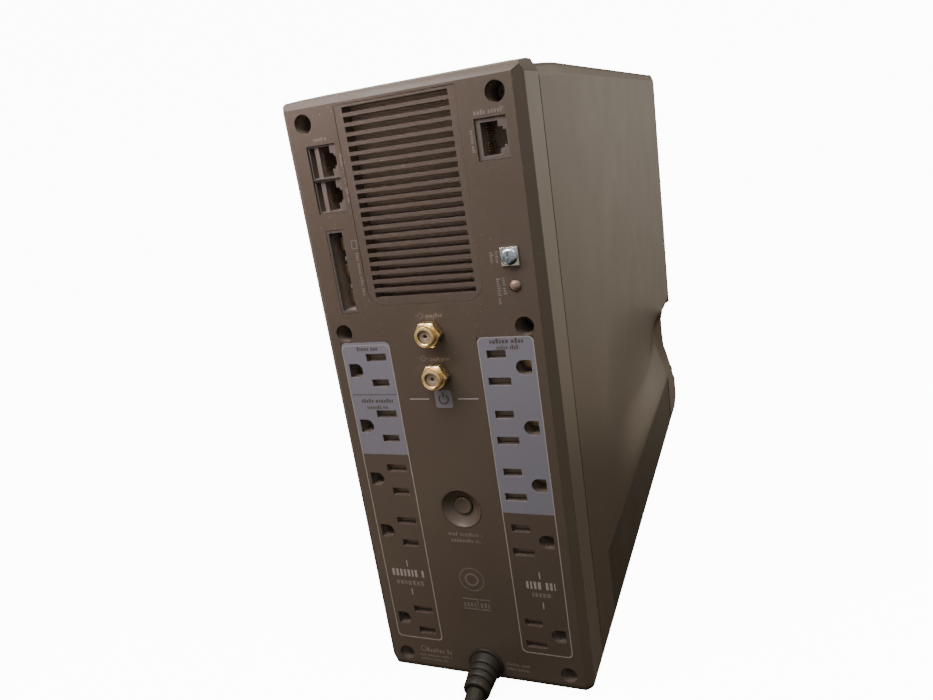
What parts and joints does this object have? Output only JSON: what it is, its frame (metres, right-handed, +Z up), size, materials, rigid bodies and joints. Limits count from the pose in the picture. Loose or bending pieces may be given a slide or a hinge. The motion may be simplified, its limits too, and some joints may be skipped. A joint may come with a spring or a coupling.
{
  "type": "uninterruptible power supply",
  "caption": "Tower uninterruptible power supply with outlet columns, data and coaxial sockets, a vented rear panel, display front, battery bay cover and a coiled mains lead.",
  "frame": {"origin": "on the floor, under the middle of the unit with its rear connectors, leaving out the mains lead", "axes": "+Z up, +Y out of the rear panel with the outlets, -Y out of the display front, +X to the left of a person facing the rear panel"},
  "size_m": [0.124, 0.616, 0.301],
  "materials": {
    "battery_case": "plain",
    "bezel_plastic": "fine satin dark brown moulded plastic",
    "circuit_board": "solder mask",
    "contact_brass": "stamped",
    "cord_rubber": "satin black",
    "core_steel": "varnished laminations",
    "dielectric": "plain",
    "display_unit": "plain",
    "foot_rubber": "plain",
    "frame_plastic": "plain",
    "front_gloss": "polished black",
    "gold_plate": "bright gold plating",
    "key_plastic": "satin black",
    "label_print": "satin printed plate",
    "plated_steel": "bright zinc plating",
    "red_lens": "clear red lens",
    "shell_plastic": "satin taupe moulded plastic",
    "sink_aluminium": "satin",
    "socket_plastic": "black moulded plastic",
    "winding_tape": "taped copper winding"
  },
  "bodies": {
    "unit": {"battery_front": "battery_case", "battery_port": "socket_plastic", "battery_port_blades": "contact_brass", "battery_rear": "battery_case", "breaker_body": "bezel_plastic", "buzzer": "socket_plastic", "capacitors": "sink_aluminium", "case_screws": "plated_steel", "coax_barrel_in": "gold_plate", "coax_barrel_out": "gold_plate", "coax_cores": "dielectric", "coax_nut_in": "gold_plate", "coax_nut_out": "gold_plate", "cord_coil": "cord_rubber", "data_port_jack": "socket_plastic", "dataline_jack_lower": "socket_plastic", "dataline_jack_upper": "socket_plastic", "display_module": "display_unit", "display_window": "front_gloss", "fan_frame": "socket_plastic", "fault_led": "red_lens", "front_bezel": "front_gloss", "front_board": "circuit_board", "ground_washer": "plated_steel", "heat_sinks": "sink_aluminium", "inner_frame": "frame_plastic", "jack_contacts": "gold_plate", "label_plate_left": "label_print", "label_plate_right": "label_print", "main_board": "circuit_board", "main_shell": "shell_plastic", "outlet_contacts_left": "contact_brass", "outlet_contacts_right": "contact_brass", "outlet_shutters_left": "bezel_plastic", "outlet_shutters_right": "bezel_plastic", "outlet_strip_left": "bezel_plastic", "outlet_strip_right": "bezel_plastic", "plug_blades": "contact_brass", "plug_body": "cord_rubber", "plug_lead": "cord_rubber", "power_cord": "cord_rubber", "rear_bezel": "bezel_plastic", "relays": "socket_plastic", "rubber_feet": "foot_rubber", "strain_relief": "cord_rubber", "transformer_core": "core_steel", "transformer_winding": "winding_tape", "vent_grille": "bezel_plastic"},
    "power_key": {"power_button": "key_plastic"},
    "mute_key": {"mute_button": "key_plastic"},
    "display_key": {"display_button": "key_plastic"},
    "breaker_reset": {"breaker_button": "socket_plastic"},
    "fan_wheel": {"fan_rotor": "socket_plastic"},
    "bay_cover": {"battery_cover": "shell_plastic"},
    "ground_clamp": {"ground_screw": "plated_steel"}
  },
  "joints": [
    {"name": "power_press", "type": "slide", "parent": "unit", "child": "power_key", "axis": [0, 1, 0], "range_m": [0, 0.0014], "stiffness_N_per_m": 400},
    {"name": "mute_press", "type": "slide", "parent": "unit", "child": "mute_key", "axis": [0, 1, 0], "range_m": [0, 0.0014], "stiffness_N_per_m": 400},
    {"name": "display_press", "type": "slide", "parent": "unit", "child": "display_key", "axis": [0, 1, 0], "range_m": [0, 0.0014], "stiffness_N_per_m": 400},
    {"name": "breaker_press", "type": "slide", "parent": "unit", "child": "breaker_reset", "axis": [0, -1, 0], "range_m": [0, 0.003], "stiffness_N_per_m": 500},
    {"name": "fan_spin", "type": "hinge", "parent": "unit", "child": "fan_wheel", "pos_m": [0, 0.17, 0.248], "axis": [0, 1, 0], "continuous": true},
    {"name": "cover_slide", "type": "slide", "parent": "unit", "child": "bay_cover", "axis": [-1, 0, 0], "range_m": [0, 0.11]},
    {"name": "ground_screw_turn", "type": "hinge", "parent": "unit", "child": "ground_clamp", "pos_m": [-0.042, 0.187, 0.2222], "axis": [0, 1, 0], "continuous": true}
  ]
}
